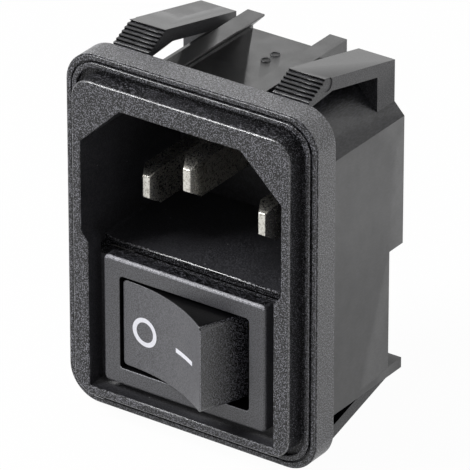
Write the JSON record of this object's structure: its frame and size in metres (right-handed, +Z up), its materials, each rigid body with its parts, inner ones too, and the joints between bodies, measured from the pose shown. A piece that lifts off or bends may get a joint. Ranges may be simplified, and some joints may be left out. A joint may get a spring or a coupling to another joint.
{
  "type": "c14 panel inlet socket with rocker switch",
  "caption": "Snap-in C14 appliance inlet with a recessed rocker switch below the pins, a stepped bezel, hooked panel arms and rear tabs.",
  "frame": {"origin": "centre of the bezel's outline in the plane of its back face, which seats on the panel's front", "axes": "+Z up along the bezel's long side, +Y into the panel, +X to the right seen from the front"},
  "size_m": [0.0302, 0.0307, 0.0416],
  "materials": {
    "housing_plastic": "spark-eroded black",
    "plate_plastic": "plain black",
    "switch_plastic": "fine-grained black",
    "rocker_plastic": "fine-grained black",
    "plated_pin": "bright nickel plate on brass",
    "plunger_plastic": "natural acetal",
    "spring_steel": "bright drawn wire",
    "terminal_brass": "plain rolled strip",
    "contact_silver": "bright silver alloy"
  },
  "bodies": {
    "inlet": {"housing": "housing_plastic", "contact_plate": "plate_plastic", "earth_pin": "plated_pin", "line_pin": "plated_pin", "neutral_pin": "plated_pin", "switch_case": "switch_plastic", "centre_terminal_line": "terminal_brass", "centre_terminal_neutral": "terminal_brass", "load_terminal_line": "terminal_brass", "load_terminal_neutral": "terminal_brass", "fixed_contact_line": "contact_silver", "fixed_contact_neutral": "contact_silver"},
    "rocker": {"rocker": "rocker_plastic", "spring_line": "spring_steel", "spring_neutral": "spring_steel"},
    "plunger_line": {"plunger_line": "plunger_plastic"},
    "plunger_neutral": {"plunger_neutral": "plunger_plastic"},
    "bridge_line": {"bridge_line": "terminal_brass", "moving_contact_line": "contact_silver"},
    "bridge_neutral": {"bridge_neutral": "terminal_brass", "moving_contact_neutral": "contact_silver"}
  },
  "joints": [
    {"name": "rocker_tilt", "type": "hinge", "parent": "inlet", "child": "rocker", "pos_m": [0, -0.00137, -0.00865], "axis": [0, 0, 1], "range_deg": [0, 36]},
    {"name": "bridge_line_tilt", "type": "hinge", "parent": "inlet", "child": "bridge_line", "pos_m": [0, 0.0062, -0.00594], "axis": [0, 0, 1], "range_deg": [-20, 0]},
    {"name": "bridge_neutral_tilt", "type": "hinge", "parent": "inlet", "child": "bridge_neutral", "pos_m": [0, 0.0062, -0.01136], "axis": [0, 0, 1], "range_deg": [-20, 0]},
    {"name": "plunger_line_slide", "type": "slide", "parent": "rocker", "child": "plunger_line", "axis": [0.309, 0.9511, 0], "range_m": [-0.0006, 0.00008], "stiffness_N_per_m": 200, "springref_m": 0.003, "deforming": ["spring_line"]},
    {"name": "plunger_neutral_slide", "type": "slide", "parent": "rocker", "child": "plunger_neutral", "axis": [0.309, 0.9511, 0], "range_m": [-0.0006, 0.00008], "stiffness_N_per_m": 200, "springref_m": 0.003, "deforming": ["spring_neutral"]}
  ],
  "couplings": [
    {"joint": "bridge_line_tilt", "follows": "rocker_tilt", "ratio": -0.5555},
    {"joint": "bridge_neutral_tilt", "follows": "rocker_tilt", "ratio": -0.5555}
  ]
}
